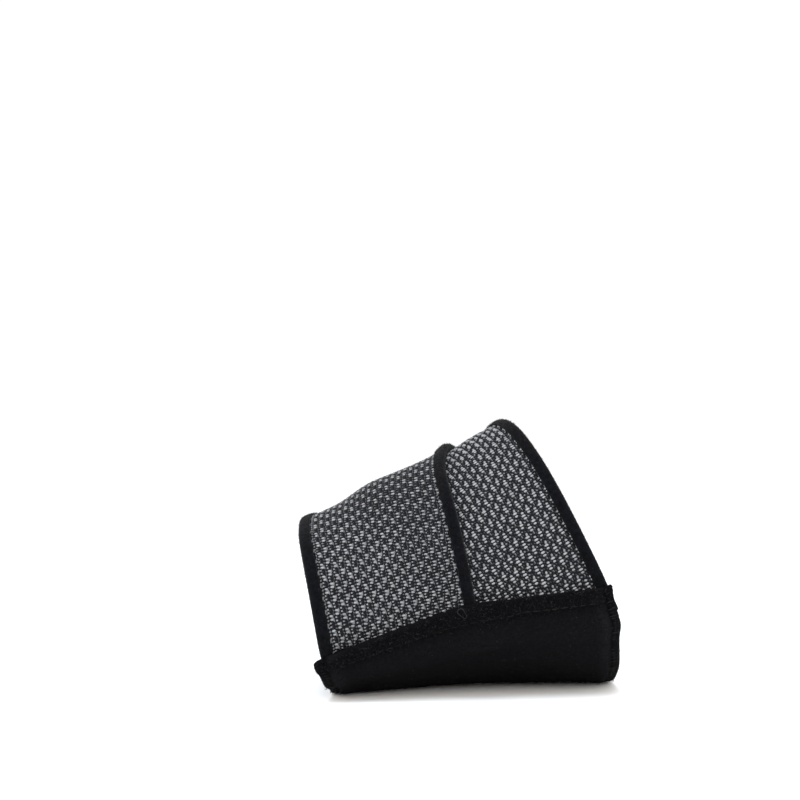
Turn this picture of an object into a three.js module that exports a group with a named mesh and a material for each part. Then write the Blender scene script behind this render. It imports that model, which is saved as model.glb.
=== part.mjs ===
// Slip-on arch support, right-side form: a padded panel under the arch, wrapped up both sides of the hollow,
// and two elastic straps over the instep, the front one lying over the rear one, with bound outer edges.
// Millimetres, +Z up. X runs lengthwise with the toe end towards -X, and Y across with the inner side
// towards -Y. The origin is on the floor, in the middle of the footprint.
import * as THREE from "three";

// Cloth thicknesses and widths
const PANEL_THICKNESS = 3;
const HEM_THICKNESS = 1.8; // the panel thins where it is sewn over the strap ends
const FRONT_STRAP_WIDTH = 38.5; // across both bindings
const REAR_STRAP_WIDTH = 31.5;
const STRAP_THICKNESS = 1;
const BINDING_WIDTH = 2.7; // as seen from outside
const BINDING_FOLD = 0.9; // how far the fold stands off the strap's own edge
const BINDING_CHAMFER = 0.65; // rounding of the fold
const BINDING_OUTER_LEAF = 0.6;
const BINDING_INNER_LEAF = 0.4;
const LAYER_GAP = 0.2; // air between two layers

// Where the pieces lie
const PANEL_FRONT = { innerHem: -36.8, sole: -33.8, outerHem: -27, ease: 20 }; // x of the edge, easing from
const PANEL_REAR = { innerHem: 38.6, sole: 41.2, outerHem: 39, ease: 13 }; // each hem to the sole
const TUCK = 6; // length of strap sewn inside the panel's hem
const HEM_EASE = 8; // length over which the panel settles from the strap ends onto the hollow
const OVERLAP_RAMP = 12; // length over which the front strap climbs onto the rear one
const OVERLAP_MARGIN = 1.5;
const STRAP_RUN = 132; // usual length of a strap between its sewn ends
const PANEL_RUN = 115; // usual length of the panel from hem to hem

// The route of each strap's middle line: its x at the inner and outer sewn ends, and at its foremost point,
// which lies at the share apexAt of the way from the inner end to the outer end. It turns there softly.
// The rear strap's toe edge is covered by the front strap and left plain.
const FRONT_STRAP = {
  width: FRONT_STRAP_WIDTH, toeBound: true,
  innerX: -15.3, apexX: -21.9, outerX: -3, apexAt: 0.34, softness: 0.15,
};
const REAR_STRAP = {
  width: REAR_STRAP_WIDTH, toeBound: false,
  innerX: 22.8, apexX: -5.8, outerX: 20, apexAt: 0.57, softness: 0.35,
};

// Sections of the hollow, from the toe end to the heel end. ridge is the top of the instep, inner and outer
// are the widest points of the two sides, tread is the flat stretch of the sole, and hem is the height of the
// panel's top edge on each side.
const SECTIONS = [
  { x: -42, ridgeY: -19, ridgeZ: 43, innerY: -43, innerZ: 17, outerY: 41, outerZ: 13,
    treadInner: -23, treadOuter: 27, innerHem: 11, outerHem: 13 },
  { x: -25, ridgeY: -16, ridgeZ: 50.8, innerY: -40, innerZ: 20, outerY: 39, outerZ: 14,
    treadInner: -16, treadOuter: 25, innerHem: 16.9, outerHem: 16 },
  { x: -6, ridgeY: -13, ridgeZ: 58.8, innerY: -37.5, innerZ: 24, outerY: 36, outerZ: 16,
    treadInner: -2, treadOuter: 23, innerHem: 23, outerHem: 20 },
  { x: 4, ridgeY: -11, ridgeZ: 65.4, innerY: -36.5, innerZ: 26, outerY: 34.5, outerZ: 17,
    treadInner: 3, treadOuter: 22, innerHem: 25.8, outerHem: 22 },
  { x: 14, ridgeY: -9, ridgeZ: 70.6, innerY: -35.5, innerZ: 28, outerY: 33, outerZ: 18,
    treadInner: 5, treadOuter: 21, innerHem: 26.9, outerHem: 23 },
  { x: 42, ridgeY: -5, ridgeZ: 84, innerY: -34, innerZ: 30, outerY: 29, outerZ: 20,
    treadInner: 6, treadOuter: 18, innerHem: 29.9, outerHem: 25 },
];

// How full each curved leg of a section is: 0.55 gives an ellipse, and less gives a flatter slope.
const FULLNESS = [0.5, 0.55, 0.4, 0.55];
const LEGS = 5;
const RIDGE_LEG = 2;

// How finely the cloth is divided
const STRAP_STEPS = 40;
const STRAP_COLUMNS = 12;
const PANEL_STEPS = 40;
const PANEL_COLUMNS = 16;
const RULER_STEPS = 60;
const HALVINGS = 30; // for finding a height on a section
const PROBE = 0.01; // step for measuring slopes

// Heights of the layers above the hollow
const STRAP_INSIDE = BINDING_INNER_LEAF + LAYER_GAP;
const STRAP_OUTSIDE = STRAP_INSIDE + STRAP_THICKNESS;
const BINDING_TOP = STRAP_OUTSIDE + LAYER_GAP + BINDING_OUTER_LEAF;
const OVERLAP_LIFT = STRAP_OUTSIDE + LAYER_GAP;

const mix = THREE.MathUtils.lerp;
const smooth = THREE.MathUtils.smoothstep;

// The section at x, each column following a smooth curve through the table.
function sectionAt(x) {
  const last = SECTIONS.length - 1;
  let row = 0;
  while (row < last - 1 && x > SECTIONS[row + 1].x) row++;
  const [a, b] = [SECTIONS[row], SECTIONS[row + 1]];
  const before = SECTIONS[Math.max(row - 1, 0)];
  const after = SECTIONS[Math.min(row + 2, last)];
  const span = b.x - a.x;
  const u = (x - a.x) / span;
  const section = {};
  for (const column of Object.keys(a)) {
    const slopeA = ((b[column] - before[column]) / (b.x - before.x)) * span;
    const slopeB = ((after[column] - a[column]) / (after.x - a.x)) * span;
    const lift = u * u * (3 - 2 * u);
    section[column] = mix(a[column], b[column], lift)
      + slopeA * u * (1 - u) ** 2 - slopeB * u * u * (1 - u);
  }
  return section;
}

// A point of the hollow's outline in one section. The turn runs 0 to 5: from the tread's inner end up the
// inner side to the ridge at 2, down the outer side to the tread's outer end at 4, and back along the tread.
function outline(section, turn) {
  const whole = ((turn % LEGS) + LEGS) % LEGS;
  const leg = Math.floor(whole);
  const u = whole - leg;
  const corners = [
    [section.treadInner, PANEL_THICKNESS],
    [section.innerY, section.innerZ],
    [section.ridgeY, section.ridgeZ],
    [section.outerY, section.outerZ],
    [section.treadOuter, PANEL_THICKNESS],
  ];
  const a = new THREE.Vector2(...corners[leg]);
  const b = new THREE.Vector2(...corners[(leg + 1) % LEGS]);
  if (leg === LEGS - 1) return a.lerp(b, u);
  const full = FULLNESS[leg];
  const levelFirst = leg % 2 === 0;
  const handleA = levelFirst
    ? new THREE.Vector2(mix(a.x, b.x, full), a.y)
    : new THREE.Vector2(a.x, mix(a.y, b.y, full));
  const handleB = levelFirst
    ? new THREE.Vector2(b.x, mix(b.y, a.y, full))
    : new THREE.Vector2(mix(b.x, a.x, full), b.y);
  return new THREE.CubicBezierCurve(a, handleA, handleB, b).getPoint(u);
}

function onHollow(x, turn) {
  const p = outline(sectionAt(x), turn);
  return new THREE.Vector3(x, p.x, p.y);
}

// A point at a height above the hollow, measured square to it.
function above(x, turn, height) {
  const along = onHollow(x + PROBE, turn).sub(onHollow(x - PROBE, turn));
  const around = onHollow(x, turn + PROBE).sub(onHollow(x, turn - PROBE));
  const outward = along.cross(around).normalize();
  return onHollow(x, turn).addScaledVector(outward, height);
}

// The turn at which one side of a section reaches a height: up the inner side, or down the outer side.
function turnAtHeight(section, z, inner) {
  let low = inner ? 0 : LEGS - 1;
  let high = RIDGE_LEG;
  for (let i = 0; i < HALVINGS; i++) {
    const middle = (low + high) / 2;
    if (outline(section, middle).y < z) low = middle;
    else high = middle;
  }
  return (low + high) / 2;
}

// Lengths along a section from one turn to another, for placing points by distance.
function ruler(section, from, to) {
  const turns = [from];
  const lengths = [0];
  let point = outline(section, from);
  for (let i = 1; i <= RULER_STEPS; i++) {
    const turn = mix(from, to, i / RULER_STEPS);
    const next = outline(section, turn);
    turns.push(turn);
    lengths.push(lengths[i - 1] + next.distanceTo(point));
    point = next;
  }
  const length = lengths[RULER_STEPS];
  const turnAt = (distance) => {
    let i = 1;
    while (i < RULER_STEPS && lengths[i] < distance) i++;
    const share = (distance - lengths[i - 1]) / (lengths[i] - lengths[i - 1]);
    return mix(turns[i - 1], turns[i], share);
  };
  return { length, turnAt };
}

// The panel's path at x, from the outer hem under the sole to the inner hem.
function panelRuler(x) {
  const section = sectionAt(x);
  const outerHem = turnAtHeight(section, section.outerHem, false) - LEGS;
  const innerHem = turnAtHeight(section, section.innerHem, true);
  return ruler(section, outerHem, innerHem);
}

// The turn at a share of a strap's way at x, from the inner sewn end over the instep to the outer one.
function strapTurn(x, share) {
  const panel = panelRuler(x);
  const innerEnd = panel.turnAt(panel.length - TUCK);
  const outerEnd = panel.turnAt(TUCK) + LEGS;
  const strap = ruler(sectionAt(x), innerEnd, outerEnd);
  return strap.turnAt(share * strap.length);
}

function strapMiddle(route, share) {
  const towardsInner = share < route.apexAt;
  const endX = towardsInner ? route.innerX : route.outerX;
  const reach = towardsInner ? route.apexAt : 1 - route.apexAt;
  const u = (share - route.apexAt) / reach;
  const soft = route.softness;
  const bend = (Math.hypot(u, soft) - soft) / (Math.hypot(1, soft) - soft);
  return mix(route.apexX, endX, bend);
}

// The x of a line that runs along a strap at a distance from its middle, wider in x where the strap slants.
function strapLine(route, share, distance) {
  const rise = strapMiddle(route, share + PROBE) - strapMiddle(route, share - PROBE);
  const slant = rise / (2 * PROBE * STRAP_RUN);
  return strapMiddle(route, share) + distance * Math.hypot(1, slant);
}

// How far the front strap is lifted by the rear strap under it, 0 to OVERLAP_LIFT.
function overlapLift(x, share) {
  const rearStart = strapLine(REAR_STRAP, share, -REAR_STRAP_WIDTH / 2);
  return OVERLAP_LIFT * smooth(x, rearStart - OVERLAP_MARGIN - OVERLAP_RAMP, rearStart - OVERLAP_MARGIN);
}

// How far both straps together lift the panel's hem.
function hemLift(x, share) {
  const frontEnd = strapLine(FRONT_STRAP, share, FRONT_STRAP_WIDTH / 2);
  const past = smooth(x, frontEnd + OVERLAP_MARGIN, frontEnd + OVERLAP_MARGIN + OVERLAP_RAMP);
  return overlapLift(x, share) * (1 - past);
}

// A closed solid: a profile of points (across, height), anticlockwise, carried along the stations by place.
function sweep(profile, steps, place) {
  const positions = [];
  const faces = [];
  const ring = profile.length;
  for (let i = 0; i <= steps; i++) {
    for (const p of profile) positions.push(...place(p, i / steps).toArray());
  }
  for (let i = 0; i < steps; i++) {
    for (let k = 0; k < ring; k++) {
      const a = i * ring + k;
      const b = i * ring + ((k + 1) % ring);
      faces.push(a, b + ring, b, a, a + ring, b + ring);
    }
  }
  for (const [a, b, c] of THREE.ShapeUtils.triangulateShape(profile, [])) {
    const end = steps * ring;
    faces.push(a, b, c, end + a, end + c, end + b);
  }
  const geometry = new THREE.BufferGeometry();
  geometry.setAttribute("position", new THREE.Float32BufferAttribute(positions, 3));
  geometry.setIndex(faces);
  geometry.computeVertexNormals();
  return geometry;
}

// A flat strip's profile between two places across, divided into columns.
function stripProfile(from, to, columns, low, high) {
  const under = [];
  const over = [];
  for (let i = 0; i <= columns; i++) {
    const across = mix(from, to, i / columns);
    under.push(new THREE.Vector2(across, low));
    over.unshift(new THREE.Vector2(across, high));
  }
  return [...under, ...over];
}

// The profile of a strap's own cloth, whose bound edges lie inside the bindings.
function strapProfile(route) {
  const toe = -route.width / 2 + (route.toeBound ? BINDING_FOLD : 0);
  const heel = route.width / 2 - BINDING_FOLD;
  return stripProfile(toe, heel, STRAP_COLUMNS, STRAP_INSIDE, STRAP_OUTSIDE);
}

// A binding's profile, folded round the strap edge at side -1 or +1: a channel open towards the middle.
function bindingProfile(route, side) {
  const fold = route.width / 2;
  const slot = fold - BINDING_FOLD + LAYER_GAP;
  const lip = fold - BINDING_WIDTH;
  const points = [
    [lip, 0],
    [fold - BINDING_CHAMFER, 0],
    [fold, BINDING_CHAMFER],
    [fold, BINDING_TOP - BINDING_CHAMFER],
    [fold - BINDING_CHAMFER, BINDING_TOP],
    [lip, BINDING_TOP],
    [lip, BINDING_TOP - BINDING_OUTER_LEAF],
    [slot, BINDING_TOP - BINDING_OUTER_LEAF],
    [slot, BINDING_INNER_LEAF],
    [lip, BINDING_INNER_LEAF],
  ].map(([across, height]) => new THREE.Vector2(side * across, height));
  return side > 0 ? points : points.reverse();
}

function placeOnStrap(route, liftAt) {
  return (p, share) => {
    const x = strapLine(route, share, p.x);
    return above(x, strapTurn(x, share), p.y + liftAt(x, share));
  };
}

function panelEdge(edge, share) {
  const hem = share < 0.5 ? edge.outerHem : edge.innerHem;
  const fromHem = PANEL_RUN * Math.min(share, 1 - share);
  return mix(hem, edge.sole, smooth(fromHem, 0, edge.ease));
}

// The panel's cloth: HEM_THICKNESS over the strap ends at both hems, PANEL_THICKNESS on the hollow between
// them, and flattened where it rests on the floor.
function placeOnPanel(p, share) {
  const x = mix(panelEdge(PANEL_FRONT, share), panelEdge(PANEL_REAR, share), p.x);
  const panel = panelRuler(x);
  const fromHem = panel.length * Math.min(share, 1 - share);
  const settled = smooth(fromHem, TUCK + OVERLAP_MARGIN, TUCK + OVERLAP_MARGIN + HEM_EASE);
  const overStraps = BINDING_TOP + LAYER_GAP + hemLift(x, share < 0.5 ? 1 : 0);
  const inside = mix(overStraps, 0, settled);
  const thickness = mix(HEM_THICKNESS, PANEL_THICKNESS, settled);
  const point = above(x, panel.turnAt(share * panel.length), inside + p.y * thickness);
  point.z = Math.max(point.z, 0);
  return point;
}

const support = new THREE.Group();

function addPiece(name, geometry, material) {
  const mesh = new THREE.Mesh(geometry, material);
  mesh.name = name;
  support.add(mesh);
}

const brushedBlack = new THREE.MeshStandardMaterial({ color: 0x1b1b1e, roughness: 0.95, metalness: 0 });
const silverKnit = new THREE.MeshStandardMaterial({ color: 0x8c8d92, roughness: 0.7, metalness: 0 });
const bindingBlack = new THREE.MeshStandardMaterial({ color: 0x17181d, roughness: 0.85, metalness: 0 });

const panelProfile = stripProfile(0, 1, PANEL_COLUMNS, 0, 1);
addPiece("sole_panel", sweep(panelProfile, PANEL_STEPS, placeOnPanel), brushedBlack);

const noLift = () => 0;
const straps = [
  { name: "front_strap", route: FRONT_STRAP, liftAt: overlapLift },
  { name: "rear_strap", route: REAR_STRAP, liftAt: noLift },
];
for (const { name, route, liftAt } of straps) {
  const place = placeOnStrap(route, liftAt);
  addPiece(name, sweep(strapProfile(route), STRAP_STEPS, place), silverKnit);
  addPiece(name + "_heel_binding", sweep(bindingProfile(route, 1), STRAP_STEPS, place), bindingBlack);
  if (!route.toeBound) continue;
  addPiece(name + "_toe_binding", sweep(bindingProfile(route, -1), STRAP_STEPS, place), bindingBlack);
}

export default support;
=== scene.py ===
import math

import bmesh
import bpy
import numpy as np
from mathutils import Matrix, Vector


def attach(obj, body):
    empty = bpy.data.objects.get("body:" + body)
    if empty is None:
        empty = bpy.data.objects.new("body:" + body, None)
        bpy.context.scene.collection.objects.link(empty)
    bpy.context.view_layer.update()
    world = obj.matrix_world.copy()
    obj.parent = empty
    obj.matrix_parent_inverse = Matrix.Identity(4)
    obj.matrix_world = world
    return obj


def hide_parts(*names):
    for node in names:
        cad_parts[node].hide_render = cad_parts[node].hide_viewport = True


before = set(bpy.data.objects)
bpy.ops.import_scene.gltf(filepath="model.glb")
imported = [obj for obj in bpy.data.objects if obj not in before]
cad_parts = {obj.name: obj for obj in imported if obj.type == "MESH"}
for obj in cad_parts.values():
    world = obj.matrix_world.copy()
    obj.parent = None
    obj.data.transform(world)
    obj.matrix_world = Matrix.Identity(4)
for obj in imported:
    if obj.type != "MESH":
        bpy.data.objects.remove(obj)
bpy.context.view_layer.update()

# Rear strap: a band of knitted elastic, black with silver stitches, stretched over the top of the hollow and
# sewn inside the panel's hems. It goes on first, so its plain toe edge ends up under the front strap.
MM = 0.001

# The hollow that all the cloth is stretched over, in millimetres, as sections from the toe end to the heel
# end: the ridge on top, the widest points of both sides, the flat tread and the heights of the hems.
SECTION_COLUMNS = (
    "x", "ridge_y", "ridge_z", "inner_y", "inner_z", "outer_y", "outer_z",
    "tread_inner", "tread_outer", "inner_hem", "outer_hem",
)
SECTIONS = np.array([
    (-42, -19, 43.0, -43.0, 17, 41.0, 13, -23, 27, 11.0, 13),
    (-25, -16, 50.8, -40.0, 20, 39.0, 14, -16, 25, 16.9, 16),
    (-6, -13, 58.8, -37.5, 24, 36.0, 16, -2, 23, 23.0, 20),
    (4, -11, 65.4, -36.5, 26, 34.5, 17, 3, 22, 25.8, 22),
    (14, -9, 70.6, -35.5, 28, 33.0, 18, 5, 21, 26.9, 23),
    (42, -5, 84.0, -34.0, 30, 29.0, 20, 6, 18, 29.9, 25),
])
ARCS = 5  # in a section: two up the inner side, two down the outer side, and the flat tread
FULLNESS = np.array([0.5, 0.55, 0.4, 0.55, 0])  # of each arc: 0.55 is an ellipse, less is flatter
RIDGE_TURN = 2  # arcs from the tread's inner end to the ridge
PANEL_THICKNESS = 3.0
TUCK = 6.0  # length of strap sewn inside a hem
STRAP_RUN = 132.0  # usual length of a strap between its sewn ends
RULER_STEPS = 60
HALVINGS = 24
PROBE = 0.05  # step for measuring slopes
TURN_PROBE = PROBE / 10
SLANT_STEP = 0.01
RIM_ANGLE = 1.0  # in radians: an edge of flat cloth that is sharper than this is a rim
RIM_SEGMENTS = 3


def mix(a, b, share):
    return a + (b - a) * share


def smooth(value, start, end):
    u = np.clip((value - start) / (end - start), 0, 1)
    return u * u * (3 - 2 * u)


def section_at(x):
    """Every column of the table at the places x, each on a smooth curve through its rows."""
    last = len(SECTIONS) - 1
    row = np.clip(np.searchsorted(SECTIONS[:, 0], x) - 1, 0, last - 1)
    a, b = SECTIONS[row], SECTIONS[row + 1]
    before, after = SECTIONS[np.maximum(row - 1, 0)], SECTIONS[np.minimum(row + 2, last)]
    span = b[:, :1] - a[:, :1]
    u = (x[:, None] - a[:, :1]) / span
    slope_a = (b - before) / (b[:, :1] - before[:, :1]) * span
    slope_b = (after - a) / (after[:, :1] - a[:, :1]) * span
    values = mix(a, b, u * u * (3 - 2 * u)) + slope_a * u * (1 - u) ** 2 - slope_b * u * u * (1 - u)
    return dict(zip(SECTION_COLUMNS, values.T))


def outline(section, turn):
    """The hollow's y and z in sections, at one turn or a row of turns for each. A turn runs 0 to 5: from the
    tread's inner end up to the ridge at 2, down to its outer end at 4, and back along the tread."""
    tread = np.full_like(section["x"], PANEL_THICKNESS)
    corners_y = [section[c] for c in ("tread_inner", "inner_y", "ridge_y", "outer_y", "tread_outer")]
    corners_z = [tread, section["inner_z"], section["ridge_z"], section["outer_z"], tread]
    arc = np.minimum((turn % ARCS).astype(int), ARCS - 1).reshape(len(turn), -1)
    u = (turn % ARCS).reshape(arc.shape) - arc
    full = FULLNESS[arc]
    level_first = arc % 2 == 0
    ends = []
    for corners, bends_first in ((corners_y, level_first), (corners_z, ~level_first)):
        table = np.column_stack(corners)
        a = np.take_along_axis(table, arc, axis=1)
        b = np.take_along_axis(table, (arc + 1) % ARCS, axis=1)
        handle_a = np.where(bends_first, mix(a, b, full), a)
        handle_b = np.where(bends_first, b, mix(b, a, full))
        curve = mix(mix(mix(a, handle_a, u), mix(handle_a, handle_b, u), u),
                    mix(mix(handle_a, handle_b, u), mix(handle_b, b, u), u), u)
        ends.append(np.where(arc == ARCS - 1, mix(a, b, u), curve).reshape(turn.shape))
    return ends


def on_hollow(x, turn):
    return np.column_stack([x, *outline(section_at(x), turn)])


def unit(vectors):
    return vectors / np.linalg.norm(vectors, axis=1, keepdims=True)


def above(x, turn, height):
    """Points at a height above the hollow, measured square to it."""
    along = on_hollow(x + PROBE, turn) - on_hollow(x - PROBE, turn)
    around = on_hollow(x, turn + TURN_PROBE) - on_hollow(x, turn - TURN_PROBE)
    return on_hollow(x, turn) + unit(np.cross(along, around)) * np.reshape(height, (-1, 1))


def turn_at_height(section, z, low_turn):
    """Where the side of each section that starts at low_turn reaches the height z."""
    low, high = np.full_like(z, low_turn), np.full_like(z, RIDGE_TURN)
    for _ in range(HALVINGS):
        middle = (low + high) / 2
        under = outline(section, middle)[1] < z
        low = np.where(under, middle, low)
        high = np.where(under, high, middle)
    return (low + high) / 2


def ruler(section, start, end):
    """Turns along each section from start to end, and the lengths up to them."""
    turns = mix(start[:, None], end[:, None], np.linspace(0, 1, RULER_STEPS + 1))
    y, z = outline(section, turns)
    lengths = np.zeros_like(turns)
    lengths[:, 1:] = np.cumsum(np.hypot(np.diff(y), np.diff(z)), axis=1)
    return turns, lengths


def turn_at(turns, lengths, distance):
    every = np.arange(len(turns))
    i = np.clip((lengths < distance[:, None]).sum(1), 1, RULER_STEPS)
    before, after = lengths[every, i - 1], lengths[every, i]
    return mix(turns[every, i - 1], turns[every, i], (distance - before) / (after - before))


def panel_ruler(x):
    """The panel's way at x, from the outer hem under the sole to the inner hem."""
    section = section_at(x)
    outer_hem = turn_at_height(section, section["outer_hem"], ARCS - 1) - ARCS
    inner_hem = turn_at_height(section, section["inner_hem"], 0)
    return ruler(section, outer_hem, inner_hem)


def strap_turn(x, share):
    """The turn at a share of a strap's way, from the inner sewn end over the ridge to the outer one."""
    turns, lengths = panel_ruler(x)
    inner_end = turn_at(turns, lengths, lengths[:, -1] - TUCK)
    outer_end = turn_at(turns, lengths, np.full_like(x, TUCK)) + ARCS
    turns, lengths = ruler(section_at(x), inner_end, outer_end)
    return turn_at(turns, lengths, share * lengths[:, -1])


def strap_middle(route, share):
    """The x of a strap's middle line, which turns softly at its foremost point."""
    towards_inner = share < route["apex_at"]
    end_x = np.where(towards_inner, route["inner_x"], route["outer_x"])
    reach = np.where(towards_inner, route["apex_at"], 1 - route["apex_at"])
    soft = route["softness"]
    bend = np.hypot((share - route["apex_at"]) / reach, soft) - soft
    return mix(route["apex_x"], end_x, bend / (math.hypot(1, soft) - soft))


def strap_slant(route, share):
    """How far a strap's middle line moves along x for each millimetre of its way."""
    ahead = strap_middle(route, share + SLANT_STEP)
    behind = strap_middle(route, share - SLANT_STEP)
    return (ahead - behind) / (2 * SLANT_STEP * STRAP_RUN)


def strap_line(route, share, across):
    """The x of a line along a strap at a distance across from its middle."""
    return strap_middle(route, share) + across * np.hypot(1, strap_slant(route, share))


def on_strap(route, x, share, height):
    """Points of a strap at a height above the hollow, raised by the strap's own lift."""
    return above(x, strap_turn(x, share), height + route["lift"](x, share))


def flat_cloth(wide, long, thick, columns, rows, rounding):
    """A flat piece of cloth round the origin, from z = 0 up to its thickness, with rounded rims."""
    bm = bmesh.new()
    bmesh.ops.create_grid(bm, x_segments=columns, y_segments=rows, size=0.5)
    bmesh.ops.scale(bm, vec=(wide, long, 1), verts=bm.verts)
    grown = bmesh.ops.extrude_face_region(bm, geom=bm.faces[:])["geom"]
    top = [v for v in grown if isinstance(v, bmesh.types.BMVert)]
    bmesh.ops.translate(bm, vec=(0, 0, thick), verts=top)
    bmesh.ops.recalc_face_normals(bm, faces=bm.faces)
    rim = [e for e in bm.edges if e.calc_face_angle() > RIM_ANGLE]
    bmesh.ops.bevel(bm, geom=rim, offset=rounding, segments=RIM_SEGMENTS, profile=0.5, affect="EDGES",
                    material=-1)
    return bm


def lay(bm, place):
    """Moves flat cloth to where place puts its points, and keeps the flat millimetres as its UV map."""
    flat = np.array([v.co for v in bm.verts])
    bm.verts.index_update()
    weave = bm.loops.layers.uv.new("weave")
    for face in bm.faces:
        for loop in face.loops:
            loop[weave].uv = flat[loop.vert.index, :2]
    for v, point in zip(bm.verts, place(flat) * MM):
        v.co = point
    bmesh.ops.recalc_face_normals(bm, faces=bm.faces)


def add_piece(name, mesh, material):
    mesh.shade_smooth()
    mesh.materials.append(material)
    piece = bpy.data.objects.new(name, mesh)
    bpy.context.scene.collection.objects.link(piece)
    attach(piece, "root")
    return piece


def add_cloth(name, bm, material, slot, *nodes):
    mesh = bpy.data.meshes.new(name)
    bm.to_mesh(mesh)
    bm.free()
    piece = add_piece(name, mesh, material)
    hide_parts(*nodes)
    return piece


def add_copies(name, bm, places, shades, material, painted_shade_below=0.0):
    """One piece of many copies of a small shape, each carried to its place and given a shade of its own,
    with painted shade that darkens it by the share given last, from the shape's top down to its middle."""
    corners = np.array([(*v.co, 1) for v in bm.verts])
    faces = np.array([[v.index for v in f.verts] for f in bm.faces])
    bm.free()
    points = np.einsum("kij,nj->kni", places[:, :3], corners)
    starts = np.arange(len(places))[:, None, None] * len(corners)
    all_faces = (starts + faces).reshape(-1, faces.shape[1])
    mesh = bpy.data.meshes.new(name)
    mesh.from_pydata(points.reshape(-1, 3).tolist(), [], all_faces.tolist())
    shade = mesh.attributes.new("shade", "FLOAT", "POINT")
    shades_with_painted_shade = np.outer(shades, 1 - painted_shade_below * (1 - corners[:, 2]))
    shade.data.foreach_set("value", shades_with_painted_shade.ravel().astype(np.float32))
    return add_piece(name, mesh, material)


def places_at(points, first, second, third):
    """4x4 places in metres from points and three scaled directions in millimetres."""
    places = np.tile(np.eye(4), (len(points), 1, 1))
    for column, vectors in enumerate((first, second, third, points)):
        places[:, :3, column] = vectors * MM
    return places


def new_finish(name, roughness, specular):
    material = bpy.data.materials.new(name)
    material.use_nodes = True
    shader = material.node_tree.nodes["Principled BSDF"]
    shader.inputs["Roughness"].default_value = roughness
    shader.inputs["Specular IOR Level"].default_value = specular
    return material, shader


def add_node(material, kind, inputs=(), **settings):
    """A node with its settings, and its inputs given as (name, value or another node's output)."""
    node = material.node_tree.nodes.new(kind)
    for key, value in settings.items():
        setattr(node, key, value)
    for key, value in inputs:
        if isinstance(value, bpy.types.NodeSocket):
            material.node_tree.links.new(value, node.inputs[key])
        else:
            node.inputs[key].default_value = value
    return node


def add_ramp(material, value, *stops):
    """Colours between stops of (place, colour), read by a value."""
    ramp = add_node(material, "ShaderNodeValToRGB", [("Fac", value)])
    elements = ramp.color_ramp.elements
    elements.remove(elements[-1])
    for i, (place, colour) in enumerate(stops):
        element = elements[0] if i == 0 else elements.new(place)
        element.position = place
        element.color = (*colour, 1)
    return ramp.outputs["Color"]


def shade_ramp(material, dark, light):
    """Colours between two, read by the shade that each copy of a shape has."""
    shade = add_node(material, "ShaderNodeAttribute", attribute_name="shade").outputs["Fac"]
    return add_ramp(material, shade, (0, dark), (1, light))


def fine_noise(material, *inputs):
    """Noise that is fixed to the piece's own coordinates."""
    point = add_node(material, "ShaderNodeTexCoord").outputs["Object"]
    return add_node(material, "ShaderNodeTexNoise", [("Vector", point), *inputs]).outputs["Fac"]


def paint(material, shader, colour, bump=None, strength=0.0, distance=0.0):
    """Gives a finish its colour and, where there is one, its fine relief."""
    links = material.node_tree.links
    links.new(colour, shader.inputs["Base Color"])
    if bump:
        bump_inputs = [("Height", bump), ("Strength", strength), ("Distance", distance)]
        relief = add_node(material, "ShaderNodeBump", bump_inputs)
        links.new(relief.outputs["Normal"], shader.inputs["Normal"])


# The black ground of the knit, in stitches of this size
GROUND_STITCH_WIDE = 0.785
GROUND_STITCH_LONG = 0.82
GROUND_UNEVEN = 0.6
GROUND_DARK = (0.0050, 0.0051, 0.0062)
GROUND_LIGHT = (0.0370, 0.0380, 0.0420)
BAND_SCALE = 0.314  # gives a wave texture one band to a millimetre

black_knit, shader = new_finish("black_knit", roughness=0.9, specular=0.1)
weave_map = add_node(black_knit, "ShaderNodeUVMap", uv_map="weave").outputs["UV"]
bands = []
for axis, pitch in (("X", GROUND_STITCH_WIDE), ("Y", GROUND_STITCH_LONG)):
    band_inputs = [("Vector", weave_map), ("Scale", BAND_SCALE / pitch), ("Distortion", GROUND_UNEVEN)]
    band = add_node(black_knit, "ShaderNodeTexWave", band_inputs, bands_direction=axis)
    bands.append(band.outputs["Fac"])
ground = add_node(black_knit, "ShaderNodeMath", enumerate(bands), operation="MULTIPLY").outputs[0]
paint(black_knit, shader, add_ramp(black_knit, ground, (0.2, GROUND_DARK), (0.95, GROUND_LIGHT)), ground,
      strength=0.8, distance=0.0003)

# The silver yarn, darker for dim stitches, and with painted shade on the lower half of each stitch
SILVER_DIM_AND_SHADED = (0.022, 0.022, 0.024)
SILVER_BRIGHT = (0.236, 0.240, 0.248)

silver_yarn, shader = new_finish("silver_yarn", roughness=0.45, specular=0.5)
fibres = fine_noise(silver_yarn, ("Scale", 5000.0))
paint(silver_yarn, shader, shade_ramp(silver_yarn, SILVER_DIM_AND_SHADED, SILVER_BRIGHT), fibres, strength=0.4,
      distance=0.0001)

STRAP_INSIDE = 0.6
STRAP_OUTSIDE = 1.6
STRAP_COLUMNS = 30
STRAP_ROWS = 110
STRAP_ROUNDING = 0.25
BINDING_WIDTH = 2.7
BINDING_FOLD = 0.9
STITCH_RISE = 0.06  # how far a stitch's middle lies above the ground
STITCH_HEIGHT = 0.27
STITCH_SWELL = 1.14  # makes up for the flat facets of a stitch
STITCH_SIZE_SPREAD = 0.05
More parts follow.
